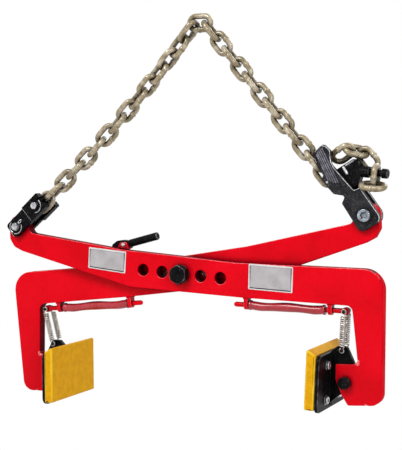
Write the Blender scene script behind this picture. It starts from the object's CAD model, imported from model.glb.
import math

import bmesh
import bpy
from mathutils import Matrix, Vector
from mathutils.geometry import tessellate_polygon


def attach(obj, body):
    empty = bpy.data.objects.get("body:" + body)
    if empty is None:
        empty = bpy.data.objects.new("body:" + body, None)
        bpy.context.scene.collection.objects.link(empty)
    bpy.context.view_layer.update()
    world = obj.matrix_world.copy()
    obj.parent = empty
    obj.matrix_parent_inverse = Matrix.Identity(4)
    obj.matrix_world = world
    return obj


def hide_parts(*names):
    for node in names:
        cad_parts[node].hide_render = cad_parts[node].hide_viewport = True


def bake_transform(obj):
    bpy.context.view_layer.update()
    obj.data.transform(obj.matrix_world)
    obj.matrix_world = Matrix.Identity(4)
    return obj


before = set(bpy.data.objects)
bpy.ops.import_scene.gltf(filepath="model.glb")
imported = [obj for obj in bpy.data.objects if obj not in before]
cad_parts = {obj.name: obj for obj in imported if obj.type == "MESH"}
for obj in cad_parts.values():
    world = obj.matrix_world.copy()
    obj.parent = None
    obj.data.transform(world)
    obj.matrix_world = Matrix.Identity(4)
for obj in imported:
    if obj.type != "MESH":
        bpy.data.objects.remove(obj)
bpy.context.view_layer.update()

MM = Matrix.Scale(0.001, 4)
X = Vector((1, 0, 0))
Y = Vector((0, 1, 0))
Z = Vector((0, 0, 1))

# Frames of the parts, as part.mjs places them
ARM_MID = 8.8
ARM_FRONT = -16.3
ARM_BACK = -1.3


def moved(x, y, z):
    return Matrix.Translation((x, y, z))


def about_y(degrees):
    return Matrix.Rotation(math.radians(degrees), 4, "Y")


PIVOT = moved(-21.9, 0, -354.55)
SCISSOR = PIVOT @ about_y(-2.78)
SIDES = {
    "right": ("front_arm", SCISSOR, -5.18),
    "left": ("back_arm", SCISSOR @ Matrix.Rotation(math.pi, 4, "Z"), 2.28),
}
FOOT = moved(233.7, 0, -145.3)
TIP_LEFT = about_y(-2.78) @ Vector((-265.9, -ARM_MID, 73.5))
TIP_RIGHT = about_y(-2.78) @ Vector((265.9, ARM_MID, 73.5))


# Materials
def tree(name):
    made = bpy.data.materials.new(name)
    made.use_nodes = True
    nodes = made.node_tree.nodes
    return made, nodes, made.node_tree.links, nodes["Principled BSDF"]


def noise(nodes, links, where, scale, detail=4.0, rough=0.55):
    made = nodes.new("ShaderNodeTexNoise")
    made.inputs["Scale"].default_value = scale
    made.inputs["Detail"].default_value = detail
    made.inputs["Roughness"].default_value = rough
    links.new(where, made.inputs["Vector"])
    return made.outputs["Fac"]


def ramp(nodes, links, value, stops):
    made = nodes.new("ShaderNodeValToRGB")
    row = made.color_ramp.elements
    while len(row) < len(stops):
        row.new(0.5)
    for one, (place, colour) in zip(row, stops):
        one.position = place
        one.color = (*colour, 1)
    links.new(value, made.inputs["Fac"])
    return made.outputs["Color"]


def layer(nodes, links, share, under, over):
    """One colour over another, by a share."""
    made = nodes.new("ShaderNodeMix")
    made.data_type = "RGBA"
    links.new(share, made.inputs[0])
    for value, socket in ((under, made.inputs[6]), (over, made.inputs[7])):
        if isinstance(value, tuple):
            socket.default_value = (*value, 1)
        else:
            links.new(value, socket)
    return made.outputs[2]


def spread_of(nodes, links, value, low, high, start=0.0, end=1.0):
    made = nodes.new("ShaderNodeMapRange")
    for name, number in (("From Min", low), ("From Max", high), ("To Min", start), ("To Max", end)):
        made.inputs[name].default_value = number
    links.new(value, made.inputs["Value"])
    return made.outputs["Result"]


def finish_of(
    name,
    tones,
    rough,
    metal=0.0,
    scale=30.0,
    grain=900.0,
    bump=0.05,
    depth=0.00006,
    coat=0.0,
    specular=0.5,
    stretch=(1, 1, 1),
    through=0.0,
    flecks=None,
    hollow=None,
):
    """Principled shader: tones spread by broad noise, roughness by middle noise, bump by fine grain.
    Flecks are a colour, a scale and a threshold; a hollow is a reach in metres and the colour in it."""
    made, nodes, links, shader = tree(name)
    at = nodes.new("ShaderNodeTexCoord").outputs["Object"]
    turn = nodes.new("ShaderNodeMapping")
    turn.inputs["Scale"].default_value = stretch
    links.new(at, turn.inputs["Vector"])
    at = turn.outputs["Vector"]
    broad = noise(nodes, links, at, scale)
    share = [0.34 + 0.32 * i / max(1, len(tones) - 1) for i in range(len(tones))]
    colour = ramp(nodes, links, broad, list(zip(share, tones)))
    if flecks:
        tone, often, over = flecks
        spots = spread_of(nodes, links, noise(nodes, links, at, often, 2), over, over + 0.1)
        colour = layer(nodes, links, spots, colour, tone)
    if hollow:
        reach, tone = hollow
        near = nodes.new("ShaderNodeAmbientOcclusion")
        near.samples = 8
        near.inputs["Distance"].default_value = reach
        open_share = spread_of(nodes, links, near.outputs["AO"], 0.3, 0.95)
        colour = layer(nodes, links, open_share, tone, colour)
    links.new(colour, shader.inputs["Base Color"])
    middle = noise(nodes, links, at, scale * 4, 5)
    links.new(spread_of(nodes, links, middle, 0.3, 0.7, *rough), shader.inputs["Roughness"])
    fine = noise(nodes, links, at, grain, 3)
    relief = nodes.new("ShaderNodeBump")
    relief.inputs["Strength"].default_value = bump
    relief.inputs["Distance"].default_value = depth
    links.new(fine, relief.inputs["Height"])
    links.new(relief.outputs["Normal"], shader.inputs["Normal"])
    shader.inputs["Metallic"].default_value = metal
    shader.inputs["Specular IOR Level"].default_value = specular
    shader.inputs["Coat Weight"].default_value = coat
    shader.inputs["Coat Roughness"].default_value = 0.1
    if through:
        shader.inputs["Subsurface Weight"].default_value = through
        shader.inputs["Subsurface Radius"].default_value = (1, 0.3, 0.25)
        shader.inputs["Subsurface Scale"].default_value = 0.003
    return made


RED_DEEP = (0.06, 0.0, 0.003)
BLACK_DEEP = (0.001, 0.001, 0.0012)
RED = finish_of(
    "red_paint",
    [(0.64, 0.0, 0.006), (0.74, 0.0, 0.008), (0.78, 0.001, 0.010)],
    (0.24, 0.34),
    scale=14,
    grain=420,
    bump=0.12,
    depth=0.00012,
    specular=0.08,
    hollow=(0.009, RED_DEEP),
)
RED_EDGE = finish_of(
    "red_paint_edge",
    [(0.66, 0.002, 0.012), (0.80, 0.012, 0.028), (0.90, 0.07, 0.085)],
    (0.2, 0.32),
    scale=60,
    grain=420,
    specular=0.4,
    coat=0.3,
    hollow=(0.012, RED_DEEP),
)
RED_WALL = finish_of(
    "red_paint_wall",
    [(0.62, 0.0, 0.008), (0.70, 0.0, 0.010), (0.76, 0.001, 0.012)],
    (0.4, 0.55),
    scale=20,
    grain=420,
    bump=0.2,
    depth=0.0002,
    specular=0.01,
    hollow=(0.022, RED_DEEP),
)
RED_CUT = finish_of(
    "red_paint_cut",
    [(0.10, 0.0, 0.006), (0.17, 0.0, 0.008), (0.26, 0.002, 0.012)],
    (0.4, 0.55),
    scale=40,
    grain=500,
    bump=0.3,
    depth=0.0002,
    specular=0.02,
    stretch=(1, 0.15, 1),
    hollow=(0.03, RED_DEEP),
)
RED_WELD = finish_of(
    "red_paint_weld",
    [(0.70, 0.004, 0.016), (0.84, 0.06, 0.08), (0.94, 0.25, 0.27)],
    (0.12, 0.25),
    scale=260,
    grain=600,
    bump=0.4,
    depth=0.0003,
    specular=0.6,
    coat=0.6,
)
BLACK = finish_of(
    "black_steel",
    [(0.002, 0.002, 0.0025), (0.004, 0.004, 0.0045), (0.008, 0.008, 0.009)],
    (0.25, 0.5),
    scale=55,
    grain=700,
    bump=0.3,
    depth=0.00018,
    specular=0.05,
    flecks=((0.06, 0.06, 0.065), 520, 0.62),
    hollow=(0.014, BLACK_DEEP),
)
BLACK_EDGE = finish_of(
    "black_steel_edge",
    [(0.006, 0.006, 0.007), (0.02, 0.02, 0.022), (0.13, 0.13, 0.135)],
    (0.25, 0.4),
    metal=0.4,
    scale=110,
    grain=700,
    bump=0.2,
    depth=0.0001,
)
BAR = finish_of(
    "bar_steel",
    [(0.011, 0.011, 0.012), (0.019, 0.019, 0.021), (0.033, 0.033, 0.036)],
    (0.36, 0.5),
    scale=70,
    grain=900,
    bump=0.4,
    depth=0.0002,
    specular=0.07,
    flecks=((0.10, 0.10, 0.11), 600, 0.6),
    hollow=(0.014, BLACK_DEEP),
)
BAR_EDGE = finish_of(
    "bar_steel_edge",
    [(0.14, 0.14, 0.15), (0.42, 0.42, 0.44), (0.72, 0.72, 0.74)],
    (0.2, 0.34),
    metal=0.7,
    scale=140,
    grain=900,
)
SCUFFED = finish_of(
    "bar_steel_scuffed",
    [(0.06, 0.06, 0.07), (0.13, 0.125, 0.15), (0.24, 0.23, 0.28)],
    (0.35, 0.5),
    metal=0.35,
    scale=160,
    grain=900,
    bump=0.4,
    depth=0.0002,
)
SILVER = finish_of(
    "bright_steel",
    [(0.30, 0.30, 0.32), (0.52, 0.52, 0.54), (0.74, 0.74, 0.76)],
    (0.16, 0.3),
    metal=0.8,
    scale=160,
    grain=1200,
    hollow=(0.005, (0.04, 0.04, 0.045)),
)
ZINC = finish_of(
    "zinc_steel",
    [(0.22, 0.25, 0.29), (0.36, 0.40, 0.45), (0.55, 0.59, 0.64)],
    (0.2, 0.36),
    metal=0.8,
    scale=190,
    grain=1200,
    bump=0.3,
    depth=0.0003,
    flecks=((0.08, 0.09, 0.11), 260, 0.58),
    hollow=(0.005, (0.03, 0.034, 0.04)),
)
SPRING = finish_of(
    "spring_steel",
    [(0.36, 0.33, 0.29), (0.56, 0.53, 0.48), (0.70, 0.67, 0.62)],
    (0.2, 0.36),
    metal=0.7,
    scale=200,
    grain=1500,
    hollow=(0.003, (0.03, 0.026, 0.022)),
)
CHAIN = finish_of(
    "zinc_chain",
    [(0.17, 0.135, 0.06), (0.33, 0.26, 0.155), (0.56, 0.49, 0.37)],
    (0.16, 0.26),
    metal=0.12,
    scale=75,
    grain=1400,
    bump=0.06,
    specular=0.7,
    hollow=(0.021, (0.02, 0.012, 0.004)),
)
WELD = finish_of(
    "chain_weld",
    [(0.20, 0.155, 0.08), (0.34, 0.275, 0.17), (0.52, 0.45, 0.33)],
    (0.22, 0.36),
    metal=0.12,
    scale=200,
    grain=1800,
    bump=0.25,
    depth=0.0002,
    hollow=(0.021, (0.02, 0.012, 0.004)),
)
PAD = finish_of(
    "pad_rubber",
    [(0.68, 0.33, 0.0005), (0.74, 0.37, 0.001), (0.79, 0.41, 0.0015)],
    (0.5, 0.66),
    scale=110,
    grain=900,
    bump=0.45,
    depth=0.0003,
    specular=0.12,
    flecks=((0.5, 0.22, 0.001), 420, 0.62),
    hollow=(0.012, (0.16, 0.07, 0.001)),
)
PAD_EDGE = finish_of(
    "pad_rubber_edge",
    [(0.76, 0.42, 0.002), (0.84, 0.50, 0.006), (0.90, 0.60, 0.03)],
    (0.42, 0.55),
    scale=80,
    grain=900,
    bump=0.3,
    depth=0.0002,
    specular=0.25,
)
GRIP = finish_of(
    "grip_rubber",
    [(0.36, 0.008, 0.016), (0.43, 0.014, 0.026), (0.49, 0.026, 0.04)],
    (0.2, 0.3),
    scale=30,
    grain=700,
    bump=0.15,
    depth=0.0002,
    specular=0.4,
    coat=0.4,
    through=0.2,
    hollow=(0.006, (0.08, 0.002, 0.006)),
)
PLAQUE = finish_of(
    "label_foil",
    [(0.37, 0.35, 0.36), (0.43, 0.41, 0.42), (0.48, 0.46, 0.47)],
    (0.3, 0.42),
    scale=60,
    grain=1300,
    specular=0.4,
)
PLAQUE_RIM = finish_of(
    "label_rim",
    [(0.62, 0.60, 0.60), (0.70, 0.68, 0.68), (0.76, 0.74, 0.74)],
    (0.3, 0.42),
    scale=60,
    grain=1300,
)
PLAQUE_LINE = finish_of(
    "label_line",
    [(0.16, 0.15, 0.16), (0.22, 0.21, 0.22), (0.28, 0.27, 0.28)],
    (0.4, 0.5),
    scale=90,
    grain=1300,
)


# Meshes
def outline(rows, size=1.0, step=7.0):
    """A closed outline from rows of across, up and corner radius, as shares of one size."""
    corners = [Vector((r[0], r[1])) * size for r in rows]
    made = []
    for i, row in enumerate(rows):
        here = corners[i]
        radius = row[2] * size
        if radius == 0:
            made.append(here.copy())
            continue
        back = (corners[i - 1] - here).normalized()
        on = (corners[(i + 1) % len(rows)] - here).normalized()
        half = math.acos(max(-1.0, min(1.0, back.dot(on)))) / 2
        centre = here + (back + on).normalized() * (radius / math.sin(half))
        start = here + back * (radius / math.tan(half)) - centre
        end = here + on * (radius / math.tan(half)) - centre
        sweep = math.atan2(start.x * end.y - start.y * end.x, start.dot(end))
        steps = max(1, math.ceil(abs(sweep) / math.radians(step)))
        for k in range(steps + 1):
            turn = Matrix.Rotation(sweep * k / steps, 2)
            made.append(centre + turn @ start)
    return made


def circle(x, z, radius, steps=40):
    return [
        Vector((x + radius * math.cos(a), z + radius * math.sin(a)))
        for a in (math.tau * k / steps for k in range(steps))
    ]


def hexagon(x, z, flats):
    return [
        Vector((x, z)) + Matrix.Rotation(math.tau * k / 6, 2) @ Vector((0, flats / math.sqrt(3)))
        for k in range(6)
    ]


def facing(loop, turning):
    """The loop without doubled points, running the way that keeps the material on its left."""
    kept = [p for i, p in enumerate(loop) if (p - loop[i - 1]).length > 1e-3]
    area = sum(a.x * b.y - b.x * a.y for a, b in zip(kept, kept[1:] + kept[:1]))
    return kept if (area > 0) == turning else kept[::-1]


def inset(loop, by):
    made = []
    for i, here in enumerate(loop):
        before = (here - loop[i - 1]).normalized()
        after = (loop[(i + 1) % len(loop)] - here).normalized()
        first = Vector((-before.y, before.x))
        second = Vector((-after.y, after.x))
        middle = (first + second).normalized()
        made.append(here + middle * (by / max(0.4, middle.dot(first))))
    return made


class Piece:
    """One mesh, gathered from plates, turned forms and tubes. Slot 0 is its finish, slot 1 its edges,
    and any further slots are for single faces."""

    def __init__(self, place):
        self.mesh = bmesh.new()
        self.place = place

    def face(self, points, slot):
        if len(set(points)) == len(points):
            made = self.mesh.faces.get(points) or self.mesh.faces.new(points)
            made.material_index = slot
            made.smooth = True

    def stack(self, rings, slots=0, closed=False):
        """Skin over rings of points, in order, with flat ends."""
        rows = [[self.mesh.verts.new(self.place @ p) for p in ring] for ring in rings]
        pairs = list(zip(rows, rows[1:])) + ([(rows[-1], rows[0])] if closed else [])
        for i, (a, b) in enumerate(pairs):
            slot = slots[i] if isinstance(slots, list) else slots
            for k in range(len(a)):
                n = (k + 1) % len(a)
                self.face([a[k], a[n], b[n], b[k]], slot)
        if not closed:
            end = 0 if isinstance(slots, list) else slots
            self.face(rows[0][::-1], end)
            self.face(rows[-1], end)
        return self

    def plate(self, loop, low, high, holes=(), bevel=0.6, rounds=2, slot=0, edge=1, pick=None):
        """A plate from an outline across X and Z, between two depths along Y, its edges rounded.
        Pick gives a slot from the way out, the place and whether it is the wall between the edges."""
        loops = [facing(loop, True)] + [facing(h, False) for h in holes]
        steps = [(0.0, 0.0)]
        if bevel:
            turns = [math.pi / 2 * k / rounds for k in range(rounds + 1)]
            steps = [(bevel * (1 - math.cos(t)), bevel * (1 - math.sin(t))) for t in turns]
        levels = [(o, low + d) for o, d in reversed(steps)] + [(o, high - d) for o, d in steps]
        wall = len(steps) - 1
        ends = ([], [])
        for one in loops:
            rows = []
            for out, deep in levels:
                ring = inset(one, out) if out else one
                rows.append([self.mesh.verts.new(self.place @ Vector((p.x, deep, p.y))) for p in ring])
            for k, here in enumerate(one):
                n = (k + 1) % len(one)
                way = (one[n] - here).normalized()
                for i, (a, b) in enumerate(zip(rows, rows[1:])):
                    chosen = slot if i == wall else edge
                    if pick:
                        chosen = pick(Vector((way.y, -way.x)), (here + one[n]) / 2, i == wall)
                    self.face([a[k], a[n], b[n], b[k]], chosen)
            ends[0].append((one, levels[0], rows[0]))
            ends[1].append((one, levels[-1], rows[-1]))
        for end in ends:
            flat = [[Vector((p.x, p.y, 0)) for p in inset(o, lv[0])] for o, lv, _ in end]
            points = [v for _, _, row in end for v in row]
            for tri in tessellate_polygon(flat):
                self.face([points[i] for i in tri], slot)
        return self

    def turned(self, start, end, profile, steps=36, slots=0):
        """A turned form about the line from start to end: rows of distance along and radius."""
        start, end = Vector(start), Vector(end)
        axis = (end - start).normalized()
        side = axis.orthogonal().normalized()
        other = axis.cross(side)
        rings = []
        for along, radius in profile:
            middle = start + axis * along
            rings.append(
                [
                    middle + (side * math.cos(a) + other * math.sin(a)) * max(radius, 1e-3)
                    for a in (math.tau * k / steps for k in range(steps))
                ]
            )
        return self.stack(rings, slots)

    def cross(self, x, z, low, high, radius, bevel=0.4, steps=36, edge=1):
        """A round bar along Y with bevelled ends."""
        long = high - low
        profile = [(0, radius - bevel), (bevel, radius), (long - bevel, radius), (long, radius - bevel)]
        return self.turned((x, low, z), (x, high, z), profile, steps, [edge, 0, edge])

    def tube(self, points, radius, sides=12, closed=False, slots=0, ends=False):
        """A round wire along points, its radius a number or one for each point."""
        count = len(points)
        size = [radius] * count if isinstance(radius, (int, float)) else radius
        ways = []
        for i in range(count):
            before = points[i - 1] if closed or i else points[0]
            after = points[(i + 1) % count] if closed or i < count - 1 else points[-1]
            ways.append((after - before).normalized())
        side = ways[0].orthogonal().normalized()
        rings = []
        for i, way in enumerate(ways):
            side = (side - way * side.dot(way)).normalized()
            other = way.cross(side)
            turns = [math.tau * k / sides for k in range(sides)]
            ring = [points[i] + (side * math.cos(a) + other * math.sin(a)) * size[i] for a in turns]
            rings.append(ring)
        if ends:
            for last, way, where in ((0, -ways[0], points[0]), (-1, ways[-1], points[-1])):
                rim = rings[last]
                r = size[last]
                for t in (30, 60, 85):
                    shrink = math.cos(math.radians(t))
                    push = way * r * math.sin(math.radians(t))
                    ring = [where + (p - where) * shrink + push for p in rim]
                    rings.insert(0, ring) if last == 0 else rings.append(ring)
        return self.stack(rings, slots, closed)

    def hex(self, x, z, low, high, flats, chamfer=(True, True), turn=0.0, slot=0, edge=1):
        """A hexagon along Y with its corners turned off, and a corner pointing up."""
        flat = flats / 2
        rim = flat * 0.95
        corner = flat / math.cos(math.pi / 6)
        rows = [[], [], [], []]
        for k in range(48):
            a = math.tau * k / 48
            nearest = round((a - math.pi / 3) / (math.pi / 3)) * (math.pi / 3) + math.pi / 3
            out = min(flat / math.cos(a - nearest), corner)
            way = Vector((math.cos(a + turn), 0, math.sin(a + turn)))
            drop = (out - rim) * math.tan(math.radians(30))
            middle = Vector((x, 0, z))
            rows[0].append(middle + way * (rim if chamfer[0] else out) + Y * low)
            rows[1].append(middle + way * out + Y * (low + (drop if chamfer[0] else 0.01)))
            rows[2].append(middle + way * out + Y * (high - (drop if chamfer[1] else 0.01)))
            rows[3].append(middle + way * (rim if chamfer[1] else out) + Y * high)
        return self.stack(rows, [edge, slot, edge])

    def ring(self, x, z, level, radius, first, last, wire, slot=1):
        """A raised bead about a hole, from one angle to another."""
        points = []
        for k in range(19):
            a = math.radians(first + (last - first) * k / 18)
            points.append(Vector((x + radius * math.cos(a), level, z + radius * math.sin(a))))
        return self.tube(points, [wire * 0.5] + [wire] * 17 + [wire * 0.5], 10, slots=slot, ends=True)

    def blob(self, x, y, z, size, slot=0):
        """A weld bead's drop."""
        rings = []
        for i in range(1, 8):
            up = math.pi * i / 8
            turns = [math.tau * k / 12 for k in range(12)]
            rings.append(
                [
                    Vector(
                        (
                            x + size[0] * math.sin(up) * math.cos(a),
                            y + size[1] * math.sin(up) * math.sin(a),
                            z + size[2] * math.cos(up),
                        )
                    )
                    for a in turns
                ]
            )
        return self.stack(rings, slot)

    def done(self, name, body, finishes, slot, replaced=(), blend=None):
        self.mesh.transform(MM)
        bmesh.ops.recalc_face_normals(self.mesh, faces=self.mesh.faces[:])
        made = bpy.data.meshes.new(name)
        self.mesh.to_mesh(made)
        self.mesh.free()
        made.set_sharp_from_angle(angle=math.radians(40))
        for one in finishes:
            made.materials.append(one)
        piece = bpy.data.objects.new(name, made)
        bpy.context.scene.collection.objects.link(piece)
        even = piece.modifiers.new("even_shading", "WEIGHTED_NORMAL")
        even.keep_sharp = True
        even.weight = 100
        if blend:
            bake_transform(piece)
        else:
            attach(piece, body)
        if replaced:
            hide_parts(*replaced)
        return piece


REDS = [RED, RED_EDGE]
PLATES = [RED, RED_EDGE, RED_CUT, RED_WALL]
BLACKS = [BLACK, BLACK_EDGE]
SHACKLES = [BLACK, BLACK_EDGE, BAR_EDGE]
BARS = [BAR, BAR_EDGE, SCUFFED]
SILVERS = [SILVER, SILVER]

# Arms
ARM = [
    (-0.845, 0.2173, 0.03),
    (-0.3207, 0.1231, 0.2069),
    (0.2917, 0.0497, 0.2069),
    (1.0045, 0.0086, 0.0966),
    (0.9714, -0.6045, 0.0552),
    (0.9052, -0.6045, 0.0034),
    (0.8966, -0.5945, 0),
    (0.8655, -0.3931, 0),
    (0.8503, -0.1528, 0.031),
    (0.3079, -0.1145, 0.1379),
    (-0.2852, -0.0603, 0.1379),
    (-0.9034, 0.1269, 0.0207),
    (-0.9497, 0.15, 0.0207),
    (-0.9738, 0.1897, 0.0207),
    (-0.9738, 0.3103, 0.0566),
    (-0.885, 0.3103, 0.045),
]
CHEEK = [
    (-0.315, 0.5975, 0.0375),
    (0.43, 0.5975, 0),
    (0.64, -0.6775, 0),
    (0.6225, -0.75, 0.025),
    (0.0425, -0.7675, 0.1),
    (-0.15, -0.425, 0.15),
    (-0.3375, 0.0675, 0.15),
]
SWIVEL = [
    (-0.62, 0.88, 0),
    (-0.36, 1.14, 0.05),
    (-0.03, 1.14, 0.11),
    (0.24, 0.62, 0.1),
    (0.34, 0.2, 0.3),
    (0.34, -0.34, 0.33),
    (-0.2, -0.44, 0.2),
    (-0.62, -0.86, 0),
]
ROD_START = Vector((79.2, -ARM_MID, -42.8))
ROD_END = Vector((236.2, -ARM_MID, -51.8))
ROD_WAY = (ROD_END - ROD_START).normalized()
PIN_LOW = Vector((-6.5, 0, 42))


def arm_slot(out, at, wall):
    """Cut faces are darker on top and in the window; the paint is worn on the upper edges."""
    if wall:
        window = at.x > 235 and at.y < -40 and out.x < -0.5
        hole = at.y < 60 and abs(at.x) < 75 and abs(at.y + 0.1065 * at.x) < 9
        tip = at.x < -235 and out.x > 0.3
        return 2 if out.y > 0.8 or window or hole or tip else 3
    return 1 if out.y > 0.5 else 3


def bar_slot(out, at, wall):
    return 1 if not wall and (out.x > 0.3 or out.y > 0.9) else 0


def block_slot(out, at, wall):
    return 2 if out.y < -0.9 and not wall else 0


def on_rod(x):
    return ROD_START + ROD_WAY * ((x - ROD_START.x) / ROD_WAY.x)


def spring(piece, top, bottom):
    """A close-wound extension spring with a hooked eye at each end."""
    down = (bottom - top).normalized()
    length = (bottom - top).length
    side = Y.cross(down)
    eye, radius, lead, turns, steps = 2.9, 3.1, 6.0, 14, 18

    def lay(along, out, deep):
        return top + down * along + side * out + Y * deep

    points = []
    for k in range(12):
        a = math.radians(235) * (1 - k / 12)
        points.append(lay(-eye * math.sin(a), -eye * math.cos(a), 0))
    points.append(lay(0.5, -eye, 0))
    points.append(lay(lead * 0.55, -eye * 0.55, 0.6))
    coil = length - lead * 2
    for k in range(turns * steps + 1):
        a = math.tau * k / steps
        points.append(
            lay(lead + coil * k / (turns * steps), -radius * math.cos(a), radius * math.sin(a))
        )
    points.append(lay(length - lead * 0.45, -eye * 0.6, 0.4))
    points.append(lay(length - 0.5, -eye, 0))
    for k in range(1, 13):
        a = math.radians(235) * k / 12
        points.append(lay(length + eye * math.sin(a), -eye * math.cos(a), 0))
    piece.tube(points, [0.8] * 14 + [1.1] * (turns * steps + 1) + [0.8] * 14, 8, ends=True)


for hand, (arm, side, lean) in SIDES.items():
    foot = side @ FOOT
    jaw = foot @ about_y(-lean)
    jaw_body = hand + "_jaw"

    # Arm plate with its row of pivot holes
    row = math.radians(-6.08)
    holes = []
    for k in range(-2, 3):
        bore = 8.5 if k == 0 or hand == "right" else 7.2
        holes.append(circle(30 * k * math.cos(row), 30 * k * math.sin(row), bore))
    holes.append(circle(-265.9, 73.5, 6.3))
    plate = Piece(side).plate(outline(ARM, 290), ARM_FRONT, ARM_BACK, holes, 0.9, 3, pick=arm_slot)
    plate.done(arm, arm, PLATES, "red_paint", [arm + "_plate"])

    # Cheeks, the ground seam and the weld beads
    for name, low in (("outer", ARM_FRONT), ("inner", ARM_BACK - 4.5)):
        cheek = Piece(foot).plate(outline(CHEEK, 40), low, low + 4.5, [circle(0, 0, 5.3)], bevel=0.5)
        cheek.done(hand + "_cheek_" + name, arm, REDS, "red_paint", [hand + "_" + name + "_cheek"])
    welds = Piece(foot)
    seam = [Vector(p) for p in ((15.9, 23.2), (19.6, 23.8), (27.3, -26.4), (24.3, -27.0))]
    for low, high in ((ARM_FRONT - 0.12, ARM_FRONT + 0.6), (ARM_BACK - 0.6, ARM_BACK + 0.12)):
        welds.plate(seam, low, high, bevel=0.12, rounds=1, edge=0)
    for x, z, size in (
        (17.4, 24.4, (3.2, 2.4, 2.6)),
        (19.0, 27.6, (2.0, 1.8, 2.8)),
        (14.4, 24.4, (2.2, 1.4, 1.2)),
        (25.9, -28.6, (1.8, 1.6, 1.4)),
    ):
        for y in (ARM_FRONT + 1.2, ARM_BACK - 1.2):
            welds.blob(x, y, z, size, 1)
        if x > 18:
            welds.blob(x, -ARM_MID, z, (size[0] * 0.8, 5.4, size[2]), 0)
    welds.done(hand + "_foot_welds", arm, [RED, RED_WELD], "red_paint")

    # Handle rod, its eye and the springs' cross pin
    rod = Piece(side)
    rod.tube([ROD_START, ROD_START + ROD_WAY * 80, ROD_END], 3.5, 24, ends=True)
    rod.cross(ROD_END.x, ROD_END.z, -ARM_MID - 3.5, -ARM_MID + 3.5, 5.2, 0.6)
    rod.done(hand + "_rod", arm, REDS, "red_paint", [hand + "_handle_rod"])
    pin = Piece(side).cross(ROD_END.x, ROD_END.z, -ARM_MID - 12.6, -ARM_MID + 12.6, 2, 0.4, 20)
    pin.done(hand + "_rod_pin", arm, BLACKS, "black_steel")

    # Rubber grip with a collar at each end
    span = 108.8
    collar = [(0.01, 4.0), (0.02, 6.3), (0.6, 6.9), (2.4, 6.9), (3.2, 6.4), (4.6, 5.9)]
    rows = collar + [(5 + (span - 10) * k / 44, 5.9) for k in range(1, 44)]
    rows += [(span - p, r) for p, r in reversed(collar)]
    points, sizes = [], []
    for along, radius in rows:
        share = along / span
        swell = math.sin(math.pi * share)
        wave = (0.7 * math.sin(math.tau * (1.3 * share + 0.55)) - 0.7) * min(1.0, swell * 2.2)
        points.append(on_rod(99.2) + ROD_WAY * along + Z * wave)
        bulge = 0.35 * math.sin(math.tau * 2.2 * share + 1) + 0.15
        sizes.append(radius + bulge * min(1.0, swell * 2))
    grip = Piece(side).tube(points, sizes, 32)
    grip.done(hand + "_handle_grip", arm, [GRIP], "grip_rubber", [hand + "_grip"])

    # Lugs that hold the rod, welded under the beam
    for i, (x, top) in enumerate(((95, -33.9), (215, -42.4))):
        centre = on_rod(x)
        place = side @ Matrix.Translation(centre) @ about_y(4) @ Matrix.Rotation(math.pi / 2, 4, "Z")
        height = top - centre.z
        block = [(-6.5, -6.5, 6.37), (6.5, -6.5, 6.37), (6.5, height, 0), (-6.5, height, 0)]
        lug = Piece(place).plate(outline(block, 1), -3, 3, [circle(0, 0, 3.9)], bevel=0.7)
        for way in (-1, 1):
            beads = [(-5.6 + 1.6 * k, way * 3.1, height - 0.5 + 0.12 * (k % 2)) for k in range(8)]
            bead = [Vector(p) for p in beads]
            lug.tube(bead, [1.3, 1.55] * 4, 8, ends=True)
        number = str(i + 1)
        lug.done(hand + "_rod_lug_" + number, arm, REDS, "red_paint", [hand + "_lug_" + number])

    # Jaw: backing plate, swivel lug and spring pin
    quarter = Matrix.Rotation(math.pi / 2, 4, "Z")
    bracket = Piece(jaw @ quarter)
    sheet = [(-58, -38, 10), (58, -38, 10), (58, 37.5, 10), (-58, 37.5, 10)]
    bracket.plate(outline(sheet, 1), 23, 28, bevel=0.8)
    bracket.place = jaw
    bracket.plate(outline(SWIVEL, 41), -ARM_MID - 2.7, -ARM_MID + 2.7, [circle(0, 0, 5.3)], bevel=0.5)
    bracket.cross(PIN_LOW.x, PIN_LOW.z, -ARM_MID - 12.6, -ARM_MID + 12.6, 2, 0.4, 20)
    for way in (-1, 1):
        side_at = [-ARM_MID + way * (3.2 + 0.15 * (k % 2)) for k in range(34)]
        bead = [Vector((-22.9, y, 34 - 2.0 * k)) for k, y in enumerate(side_at)]
        bracket.tube(bead, [1.5, 1.75] * 17, 8, ends=True)
    bracket.done(hand + "_bracket", jaw_body, BLACKS, "black_steel", [hand + "_jaw_bracket"])

    # Rubber pad with a sloped top
    block = [(0, -34, 0.6), (-13, -34, 2.5), (-13, 47, 2.5), (0, 38.5, 0.6)]
    pad = Piece(jaw @ moved(-28.3, 0, 0)).plate(outline(block, 1, 15), -60, 60, bevel=2.2, rounds=4)
    pad.done(hand + "_rubber_pad", jaw_body, [PAD, PAD_EDGE], "pad_rubber", [hand + "_pad"])

    # Screws of the pad: pan heads with a hexagon recess, on washers
    for i, (y, z) in enumerate(((-27, 22), (27, 22), (-27, -24), (27, -24))):
        screw = Piece(jaw @ moved(-22.7, y, z) @ Matrix.Rotation(-math.pi / 2, 4, "Z"))
        screw.plate(circle(0, 0, 6.6), -0.1, 0.9, [circle(0, 0, 3)], bevel=0.2, rounds=1)
        screw.plate(circle(0, 0, 5.4), 0.9, 4.0, [hexagon(0, 0, 4.4)], bevel=0.9, rounds=3)
        screw.plate(circle(0, 0, 4.0), 0.8, 2.0, bevel=0)
        screw.turned((0, 0, 0), (0, -12, 0), [(0, 3), (11.3, 3), (11.9, 2.5)], 24)
        number = str(i + 1)
        replaced = [hand + "_pad_screw_" + number]
        screw.done(hand + "_screw_" + number, jaw_body, SILVERS, "bright_steel", replaced)

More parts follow.
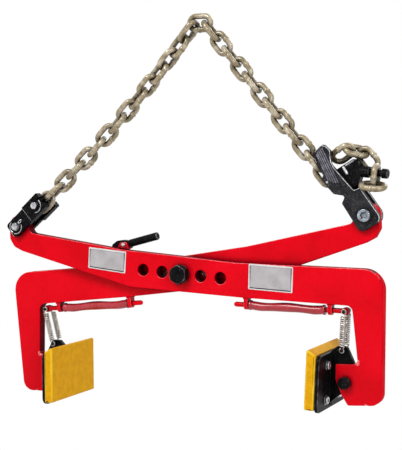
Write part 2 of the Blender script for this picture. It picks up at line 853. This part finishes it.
    # Jaw bolt with a deep round head, and its flanged nut
    bolt = Piece(foot)
    head = ARM_FRONT - 0.3
    socket = [hexagon(0, 0, 8)]
    bolt.plate(circle(0, 0, 8, 48), head - 10, head - 4.8, socket, bevel=1.6, rounds=4, edge=0)
    bolt.plate(circle(0, 0, 8, 48), head - 4.9, head, bevel=0.3, rounds=1)
    bolt.turned(
        (0, head, 0),
        (0, 20, 0),
        [(-0.5, 5)] + [(16 + 0.5 * k, 5 - 0.35 * (k % 2)) for k in range(18)] + [(25.0, 4.4)],
        28,
    )
    bolt.done(hand + "_swivel_bolt", arm, BLACKS, "black_steel", [hand + "_jaw_bolt"])
    nut = Piece(foot)
    nut.plate(circle(0, 0, 10.5, 44), ARM_BACK + 0.3, ARM_BACK + 1.9, [circle(0, 0, 5.3)], bevel=0.5)
    nut.hex(0, 0, ARM_BACK + 1.8, ARM_BACK + 8.3, 16, (False, True))
    nut.done(hand + "_swivel_nut", arm, SILVERS, "black_steel", [hand + "_jaw_nut"])

    # Springs between the rod's pin and the jaw's
    low = about_y(-lean) @ PIN_LOW + Vector((233.7, 0, -145.3))
    for i, way in enumerate((-1, 1)):
        y = -ARM_MID + way * 10
        coil = Piece(side)
        top_pin = Vector((ROD_END.x, y, ROD_END.z))
        low_pin = Vector((low.x, y, low.z))
        spring(coil, top_pin, low_pin)
        ends = [MM @ side @ top_pin, MM @ side @ low_pin]
        coil.done(
            hand + "_coil_" + str(i + 1),
            arm,
            [SPRING],
            "bright_steel",
            [hand + "_spring_" + str(i + 1)],
            (arm, jaw_body, ends[0], ends[1]),
        )

# Main pivot
pivot = Piece(SCISSOR)
pivot.hex(0, 0, -29.4, -19.4, 24, (True, False))
pivot.turned(
    (0, -19.5, 0),
    (0, 40, 0),
    [(0, 8), (38, 8)] + [(38.6 + 0.6 * k, 8 - 0.5 * (k % 2)) for k in range(28)] + [(55.9, 6.9)],
    36,
)
pivot.done("pivot_hex_bolt", "front_arm", BLACKS, "black_steel", ["pivot_bolt"])
for name, low, high in (("front", -19.1, -16.6), ("rear", 16.6, 19.1)):
    washer = Piece(SCISSOR).plate(circle(0, 0, 13), low, high, [circle(0, 0, 8.3)], bevel=0.4)
    replaced = ["pivot_" + name + "_washer"]
    washer.done("pivot_washer_" + name, "front_arm", BLACKS, "black_steel", replaced)
washer = Piece(SCISSOR).plate(circle(0, 0, 13), -1, 1, [circle(0, 0, 8.3)], bevel=0.3)
washer.done("pivot_spacer_ring", "front_arm", BLACKS, "black_steel", ["pivot_spacer"])
nut = Piece(SCISSOR).hex(0, 0, 19.4, 32.4, 24)
nut.done("pivot_hex_nut", "front_arm", BLACKS, "black_steel", ["pivot_nut"])

# Bare label plates on the front arm
for name, corners in (
    ("left", ((-149.3, 10.5), (-88.7, 1.5), (-85.6, 32.7), (-146.2, 40.6))),
    ("right", ((100.7, -21.5), (164.6, -27.2), (167.1, 7.9), (103.3, 13.3))),
):
    label = Piece(SCISSOR)
    shape = outline([(x, z, 1.5) for x, z in corners], 1)
    label.plate(shape, ARM_FRONT - 0.35, ARM_FRONT + 0.1, bevel=0.15, rounds=1, edge=0)
    for i, by in enumerate((2.2, 2.9)):
        inner = inset(facing(shape, True), by)
        label.plate(inner, ARM_FRONT - 0.42 - 0.07 * i, ARM_FRONT - 0.3, bevel=0, slot=2 - i)
    label.done("label_" + name, "front_arm", [PLAQUE_RIM, PLAQUE, PLAQUE_LINE], "bright_steel")

# Chain
WIRE = 4.0
OPENING = 10.5
# Along one side of a link: the share of the half length, and the wire's swelling at the weld
SEAM = [(-1, 1), (-0.5, 1), (-0.34, 1), (-0.26, 1.1), (-0.1, 1.16)]
SEAM += [(-s, r) for s, r in reversed(SEAM[1:])]


def link(piece, pitch, middle, along, normal):
    """A round-wire link: two straight sides, two crowns, and a butt weld on one side."""
    x = along.normalized()
    y = normal.cross(x).normalized()
    crown = OPENING / 2 + WIRE
    half = pitch / 2 - OPENING / 2
    flat, sizes, kinds = [], [], []
    for k in range(4):
        flat.append((-half + 2 * half * k / 4, crown))
        sizes.append(WIRE)
        kinds.append(0)
    for k in range(12):
        a = math.pi / 2 - math.pi * k / 12
        flat.append((half + crown * math.cos(a), crown * math.sin(a)))
        sizes.append(WIRE)
        kinds.append(0)
    for s, r in SEAM:
        flat.append((-s * half, -crown))
        sizes.append(WIRE * r)
        kinds.append(1 if abs(s) < 0.3 else 0)
    for k in range(12):
        a = -math.pi / 2 - math.pi * k / 12
        flat.append((-half + crown * math.cos(a), crown * math.sin(a)))
        sizes.append(WIRE)
        kinds.append(0)
    piece.tube([middle + x * a + y * b for a, b in flat], sizes, 14, True, kinds)


def run(piece, nodes, twists, pitch):
    for i, twist in enumerate(twists):
        along = (nodes[i + 1] - nodes[i]).normalized()
        normal = Matrix.Rotation(math.radians(twist), 3, along) @ Y
        link(piece, pitch, (nodes[i] + nodes[i + 1]) / 2, along, normal)


LEFT_LINKS = 15
LEFT_LEG = 358.75
LEFT_PITCH = LEFT_LEG / LEFT_LINKS
RIGHT_LINKS = 12
TAIL_PITCH = 23.3
SLACK = 0.7
HOOK = Vector((21.9, 0, 349.3))
SIZE = 111
reach = (LEFT_PITCH - 0.45 - OPENING) / 2
top = Piece(PIVOT @ moved(0, 0, -0.66))
link(top, LEFT_PITCH - 0.45, HOOK, X, -Y)
top.done("top_link", "hook_link", [CHAIN, WELD], "zinc_chain", ["hook_link"])

spot = HOOK - X * reach
nodes, twists = [], []
for i in range(LEFT_LINKS):
    share = i / (LEFT_LINKS - 1)
    slope = math.radians(50.3 + (41.3 - 50.3) * share)
    way = Vector((-math.cos(slope), -ARM_MID / LEFT_LEG, -math.sin(slope))).normalized()
    if i == 0:
        spot = spot + way * (OPENING / 2 - SLACK)
        nodes.append(spot.copy())
    spot = spot + way * LEFT_PITCH
    nodes.append(spot.copy())
    twists.append((i % 2) * 90 - 72 * (1 - share))
left = Piece(PIVOT)
run(left, nodes, twists, LEFT_PITCH)
left.done("left_leg_links", "left_chain", [CHAIN, WELD], "zinc_chain", ["left_chain_run"])
chain_bolt = nodes[-1] - (nodes[-1] - nodes[-2]).normalized() * (OPENING / 2)

tooth = Vector((-0.2034 * SIZE, 0, 0.63311 * SIZE))
start = HOOK + X * reach
line = moved(TIP_RIGHT.x, ARM_MID, TIP_RIGHT.z) @ about_y(-31.5) @ tooth - start
way = line.normalized()
right_pitch = (line.length + SLACK) / RIGHT_LINKS
start = start + way * (OPENING / 2 - SLACK)
nodes = [start + way * (right_pitch * i) for i in range(RIGHT_LINKS + 1)]
right = Piece(PIVOT)
run(right, nodes, [((i + 1) % 2) * 90 for i in range(RIGHT_LINKS)], right_pitch)
right.done("right_leg_links", "right_chain", [CHAIN, WELD], "zinc_chain", ["right_chain_run"])

# Shackle
lift = chain_bolt - TIP_LEFT
lean = Matrix.Rotation(math.atan2(lift.x, lift.z), 4, "Y")
shackle = PIVOT @ moved(TIP_LEFT.x, -ARM_MID, TIP_LEFT.z) @ lean
gap = math.hypot(lift.x, lift.z)
top_end = gap + 14
face, outer, block = 7.8, 15.8, 19.3
OVAL = [math.tau * k / 20 for k in range(20)]
for name, way in (("front", -1), ("rear", 1)):
    ear = 12.3
    top = top_end - ear
    lower = outline([(-ear, -ear, 5.5), (ear, -ear, 5.5), (ear, top, 0), (-ear, top, 0)])
    upper = outline(
        [
            (-12.8, 28, 0.8),
            (13.6, 28, 0.8),
            (13.6, top_end, 1.75),
            (4.8, top_end, 0.5),
            (4.8, top_end - 6, 1.75),
            (-4.8, top_end - 6, 1.75),
            (-4.8, top_end, 0.5),
            (-12.8, top_end, 1.75),
        ]
    )
    plate = Piece(shackle)
    for shape, out, holes in (
        (lower, outer, [circle(0, 0, 6.3), circle(0, gap, 5)]),
        (upper, block, [circle(0, gap, 5)]),
    ):
        low, high = sorted((face * way, out * way))
        plate.plate(shape, low, high, holes, bevel=0.8, pick=block_slot)
    level = way * (outer + 0.2)
    plate.ring(0, 0, level, 9.6, 190, 292, 0.8, 2)
    plate.ring(0, 0, level, 10.4, 304, 425, 0.7, 2)
    eye = [Vector((-1 + 1.6 * math.cos(a), level, 10.8 + 3.0 * math.sin(a))) for a in OVAL]
    plate.tube(eye, 0.6, 8, True, 2)
    plate.ring(0, gap, way * (block + 0.2), 10.4, -38, 100, 0.8, 2)
    replaced = ["shackle_" + name + "_plate"]
    plate.done("shackle_plate_" + name, "left_chain", SHACKLES, "black_steel", replaced)
for name, z, level, radius, flats in (("arm", 0, outer, 6, 9.6), ("chain", gap, block, 4.7, 9)):
    bolt = Piece(shackle)
    bolt.hex(0, z, -level - 3.9, -level - 0.3, flats, (True, False), turn=0.35)
    bolt.turned(
        (0, -level - 0.4, z),
        (0, 30, z),
        [(0, radius), (2 * level + 6.6, radius), (2 * level + 7.0, radius - 0.5)],
        28,
    )
    replaced = ["shackle_" + name + "_bolt"]
    bolt.done("shackle_bolt_" + name, "left_chain", SILVERS, "bright_steel", replaced)
    nut = Piece(shackle).hex(0, z, level + 0.3, level + 6.3, 16.5, turn=0.2)
    nut.done("shackle_nut_" + name, "left_chain", SILVERS, "bright_steel", ["shackle_" + name + "_nut"])

# Adjuster
adjuster = PIVOT @ moved(TIP_RIGHT.x, ARM_MID, TIP_RIGHT.z) @ about_y(-31.5)
FRONT_BAR = [
    (-0.1532, -0.1532, 0.072),
    (0.1568, -0.1532, 0.072),
    (0.1191, 0.3133, 0.027),
    (0.038, 0.3198, 0.027),
    (-0.045, 0.735, 0.25),
    (0.03, 0.875, 0.05),
    (-0.004, 0.998, 0.06),
    (-0.165, 0.962, 0.06),
    (-0.2, 0.77, 0.3),
    (-0.195, 0.668, 0.009),
    (-0.23, 0.655, 0.012),
    (-0.2286, 0.5414, 0.027),
    (-0.1984, 0.4103, 0.027),
    (-0.1063, 0.3333, 0.009),
    (-0.1063, 0.3063, 0.009),
    (-0.1685, 0.2622, 0.018),
]
REAR_BAR = [
    (-0.1532, -0.1532, 0.138),
    (0.1568, -0.1532, 0.138),
    (0.1171, 0.3423, 0.0541),
    (0.1261, 0.6486, 0.045),
    (-0.0901, 0.6847, 0.045),
    (-0.1261, 0.4505, 0.0721),
]
CLAW = [
    (-0.045, 0.6559, 0.018),
    (0.205, 0.6541, 0.02),
    (0.24, 0.60, 0.03),
    (0.1802, 0.47, 0.02),
    (0.1802, 0.4369, 0.01),
    (0.0964, 0.3604, 0.027),
    (-0.0721, 0.3604, 0.027),
]
FINGER = [(-0.25, 0.69, 0.04), (0.03, 0.655, 0), (0.03, 0.58, 0), (-0.25, 0.58, 0.04)]
# Each rib of the front bar, from its lower to its upper end
RIBS = [
    ((-19.6, 64), (-15.6, 103)),
    ((-17.3, 61), (-13.2, 105)),
    ((-14.8, 58), (-10.6, 106)),
    ((-12.1, 56), (-7.9, 107)),
    ((-9.3, 55), (-5.2, 106)),
]
# The front bar: a thin face, and a narrower body behind it that leaves room for the chain
bolt_hole = [circle(0, 0, 6.3)]
front_bar = Piece(adjuster)
front_bar.plate(outline(FRONT_BAR, SIZE), -16.2, -14.0, bolt_hole, 0.9, 3, pick=bar_slot)
shape = [(max(x, -0.1), z, min(r, 0.03)) if z > 0.62 else (x, z, r) for x, z, r in FRONT_BAR]
front_bar.plate(outline(shape, SIZE), -14.6, -7.8, bolt_hole, 0.5, 1, edge=0)
for low, high in RIBS:
    shape = [Vector((x, z)) for x, z in (low, (low[0] + 1.9, low[1]), (high[0] + 1.7, high[1]), high)]
    front_bar.plate(shape, -17.0, -15.5, bevel=0.45, slot=2, edge=2)
front_bar.done("adjuster_bar_front", "adjuster", BARS, "black_steel", ["adjuster_front_plate"])
rear_bar = Piece(adjuster).plate(outline(REAR_BAR, SIZE), 7.8, 13.8, bolt_hole, bevel=0.8)
rear_bar.done("adjuster_bar_rear", "adjuster", BARS, "black_steel", ["adjuster_rear_plate"])

claw = Piece(adjuster)
claw.plate(outline(CLAW, SIZE), -7.5, 7.5, bevel=0.7, edge=0)
claw.plate(outline(FINGER, SIZE), 4.5, 7.5, bevel=0.5)
claw.cross(tooth.x, tooth.z, -4.3, 6, 3, 0.4, 24, 0)
claw.tube([Vector((9.6, -7.3, 70.6)), Vector((22.4, -7.3, 70.6))], 1.2, 12, slots=2, ends=True)
rib = [Vector((5.4, -7.2, z)) for z in (61, 66, 69.5)]
claw.tube(rib, 2.3, 16, slots=2, ends=True)
claw.done("adjuster_claw_block", "adjuster", SHACKLES, "black_steel", ["adjuster_claw"])

pin_start = Vector((0.155 * SIZE, 0, 0.515 * SIZE))
pin_way = about_y(36.573) @ X
pin_end = pin_start + pin_way * 42.847
long = (pin_end - pin_start).length + 6
seat = pin_start - pin_way * 6
tail_pin = Piece(adjuster).turned(
    seat,
    pin_end,
    [
        (0, 7.0),
        (0.6, 7.6),
        (22.6, 7.6),
        (23.4, 6.8),
        (23.4, 4.4),
        (long - 9, 4.4),
        (long - 9, 6.0),
        (long - 8.4, 6.5),
        (long - 1.6, 6.5),
        (long - 0.5, 5.9),
        (long, 4.6),
        (long, 2.4),
        (long - 1.2, 2.0),
        (long - 1.2, 0),
    ],
    32,
    [1, 0, 1, 0, 0, 0, 1, 0, 1, 1, 0, 1, 0],
)
tail_pin.done("adjuster_pin", "adjuster", BLACKS, "black_steel", ["adjuster_tail_pin"])

bolt = Piece(adjuster)
bolt.plate(circle(0, 0, 8.3, 48), -22.1, -19.0, [hexagon(0, 0, 8)], bevel=0.9, rounds=3)
bolt.plate(circle(0, 0, 8.3, 48), -19.1, -16.1, bevel=0.2, rounds=1)
bolt.turned(
    (0, -16.2, 0),
    (0, 30, 0),
    [(0, 6), (31, 6)] + [(31.5 + 0.55 * k, 6 - 0.4 * (k % 2)) for k in range(14)] + [(39.4, 5.4)],
    32,
)
bolt.done("adjuster_round_bolt", "adjuster", [ZINC, ZINC], "bright_steel", ["adjuster_bolt"])
nut = Piece(adjuster).hex(0, 0, 14.1, 23.1, 18, turn=0.3)
nut.done("adjuster_hex_nut", "adjuster", SILVERS, "bright_steel", ["adjuster_nut"])
nub = Piece(adjuster).cross(-21.5, 63.6, -16.7, -15.4, 1.7, 0.3, 20)
nub.done("adjuster_nub_pin", "adjuster", SILVERS, "bright_steel")

# Spare tail over the claw and on the pin
nodes = [Vector(p) for p in ((1, 5, 87.5), (22, 1, 88), (33.5, 12.2, 76.3), (36.4, 12.2, 53.2))]
tail = Piece(adjuster)
for i, normal in enumerate((Vector((0, 0.75, 0.66)), X, Y)):
    link(tail, TAIL_PITCH - 0.45, (nodes[i] + nodes[i + 1]) / 2, nodes[i + 1] - nodes[i], normal)
neck = pin_start.lerp(pin_end, 0.6)
fall = Y.cross(pin_way).normalized()
stretch = (TAIL_PITCH - 0.45 - OPENING) / 2
hung = neck + fall * stretch
link(tail, TAIL_PITCH - 0.45, hung, fall, pin_way)
last_side = Matrix.Rotation(math.radians(18), 3, pin_way) @ -Y
rest = hung + fall * (stretch + OPENING / 2 - WIRE + 0.9)
last = rest + last_side * (OPENING / 2 + WIRE)
link(tail, TAIL_PITCH - 0.45, last, pin_way, last_side.cross(pin_way))
tail.done("tail_links", "adjuster", [CHAIN, WELD], "zinc_chain", ["tail_chain_run"])

# Hold-open latch
latch = PIVOT @ moved(-97.9, 0, 37.5)
LEVER = [
    (0.18, -0.09, 0.06),
    (0.17, 0.11, 0.06),
    (-0.08, 0.13, 0.1),
    (-0.28, 0.098, 0.1),
    (-0.44, -0.022, 0.06),
    (-0.45, -0.19, 0.03),
    (-0.33, -0.19, 0.03),
    (-0.3, -0.09, 0.05),
    (-0.12, -0.15, 0.06),
    (0.04, -0.17, 0.08),
]
LATCH_LUG = [
    (-0.19, -0.086, 0),
    (0.066, -0.118, 0),
    (0.19, -0.128, 0),
    (0.085, 0.07, 0.068),
    (-0.085, 0.07, 0.068),
]
lever = Piece(latch)
lever.plate(outline(LEVER, 50), 1, 9, [circle(0, 0, 3.3)], bevel=0.7)
lever.turned(
    (3, 5, 0.6),
    (52, 5, 13.9),
    [(0, 4.6), (4, 5.6), (48.6, 5.6), (49.6, 5.0), (49.6, 3.4), (48.8, 3.0), (48.8, 0)],
    32,
    [0, 0, 1, 1, 0, 0],
)
lever.done("latch_handle", "latch", BLACKS, "black_steel", ["latch_lever"])
lug = Piece(latch).plate(outline(LATCH_LUG, 50), -5.9, -0.7, [circle(0, 0, 3.3)], bevel=0.5)
lug.done("latch_ear", "front_arm", REDS, "red_paint", ["latch_lug"])
stud = Piece(latch)
stud.cross(0, 0, -6.5, 10.6, 3, 0.3, 24)
stud.cross(0, 0, -7.4, -6.2, 2.2, 0.5)
stud.cross(0, 0, 10.3, 12.3, 5.2, 0.6)
stud.done("latch_stud", "front_arm", SILVERS, "bright_steel", ["latch_pivot"])
catch = Piece(SCISSOR @ Matrix.Rotation(math.pi, 4, "Z"))
catch.turned(
    (134, -ARM_MID, 12.2),
    (134, -ARM_MID, 30),
    [(0, 4), (11.6, 4), (11.8, 5), (12.2, 5.5), (14.4, 5.5), (15, 4.7)],
    28,
    [0, 0, 1, 0, 1],
)
catch.done("latch_catch_stud", "back_arm", BLACKS, "black_steel", ["latch_catch"])

# Floor and light
ground = bmesh.new()
bmesh.ops.create_grid(ground, x_segments=1, y_segments=1, size=6)
bmesh.ops.translate(ground, verts=ground.verts[:], vec=(0, 0, -0.62))
sheet = bpy.data.meshes.new("floor")
ground.to_mesh(sheet)
ground.free()
floor = bpy.data.objects.new("floor", sheet)
bpy.context.scene.collection.objects.link(floor)


def seen(nodes, links):
    """1 where a camera, glossy or transmission ray looks, 0 where light is gathered."""
    path = nodes.new("ShaderNodeLightPath")
    first = nodes.new("ShaderNodeMath")
    first.operation = "MAXIMUM"
    links.new(path.outputs["Is Camera Ray"], first.inputs[0])
    links.new(path.outputs["Is Glossy Ray"], first.inputs[1])
    second = nodes.new("ShaderNodeMath")
    second.operation = "MAXIMUM"
    links.new(first.outputs["Value"], second.inputs[0])
    links.new(path.outputs["Is Transmission Ray"], second.inputs[1])
    return second.outputs["Value"]


pale, nodes_, links_, shader = tree("pale_floor")
shader.inputs["Base Color"].default_value = (0.8, 0.8, 0.8, 1)
shader.inputs["Roughness"].default_value = 0.9
white = nodes_.new("ShaderNodeEmission")
white.inputs["Color"].default_value = (1, 1, 1, 1)
mix = nodes_.new("ShaderNodeMixShader")
links_.new(seen(nodes_, links_), mix.inputs["Fac"])
links_.new(shader.outputs["BSDF"], mix.inputs[1])
links_.new(white.outputs["Emission"], mix.inputs[2])
links_.new(mix.outputs["Shader"], nodes_["Material Output"].inputs["Surface"])
sheet.materials.append(pale)

world = bpy.data.worlds.new("studio")
bpy.context.scene.world = world
world.use_nodes = True
nodes_, links_ = world.node_tree.nodes, world.node_tree.links
lit = nodes_["Background"]
lit.inputs["Color"].default_value = (1, 1, 1, 1)
lit.inputs["Strength"].default_value = 0.34
white = nodes_.new("ShaderNodeBackground")
white.inputs["Color"].default_value = (1, 1, 1, 1)
mix = nodes_.new("ShaderNodeMixShader")
links_.new(seen(nodes_, links_), mix.inputs["Fac"])
links_.new(lit.outputs["Background"], mix.inputs[1])
links_.new(white.outputs["Background"], mix.inputs[2])
links_.new(mix.outputs["Shader"], nodes_["World Output"].inputs["Surface"])


def lamp(name, where, aim, size, watts):
    data = bpy.data.lights.new(name, "AREA")
    data.shape = "RECTANGLE"
    data.size, data.size_y = size
    data.energy = watts
    made = bpy.data.objects.new(name, data)
    made.location = where
    made.rotation_euler = (Vector(aim) - Vector(where)).to_track_quat("-Z", "Y").to_euler()
    bpy.context.scene.collection.objects.link(made)


lamp("key", (-0.5, -1.7, 1.3), (0, 0, -0.3), (1.0, 0.8), 35)
lamp("fill", (1.6, -1.3, 0.3), (0, 0, -0.3), (0.8, 1.2), 13)
lamp("rim", (0.6, 1.5, 1.0), (0, 0, -0.3), (1.4, 0.8), 14)

camera = bpy.data.objects.new("camera", bpy.data.cameras.new("camera"))
camera.data.sensor_fit = "HORIZONTAL"
camera.data.sensor_width = 36
camera.data.lens = 104.83
camera.location = (0.6931, -1.4802, -0.20265)
look = Vector((0.00128, 0, -0.28627)) - camera.location
camera.rotation_euler = look.to_track_quat("-Z", "Y").to_euler()
bpy.context.scene.collection.objects.link(camera)
bpy.context.scene.camera = camera
bpy.context.scene.view_settings.view_transform = "Standard"
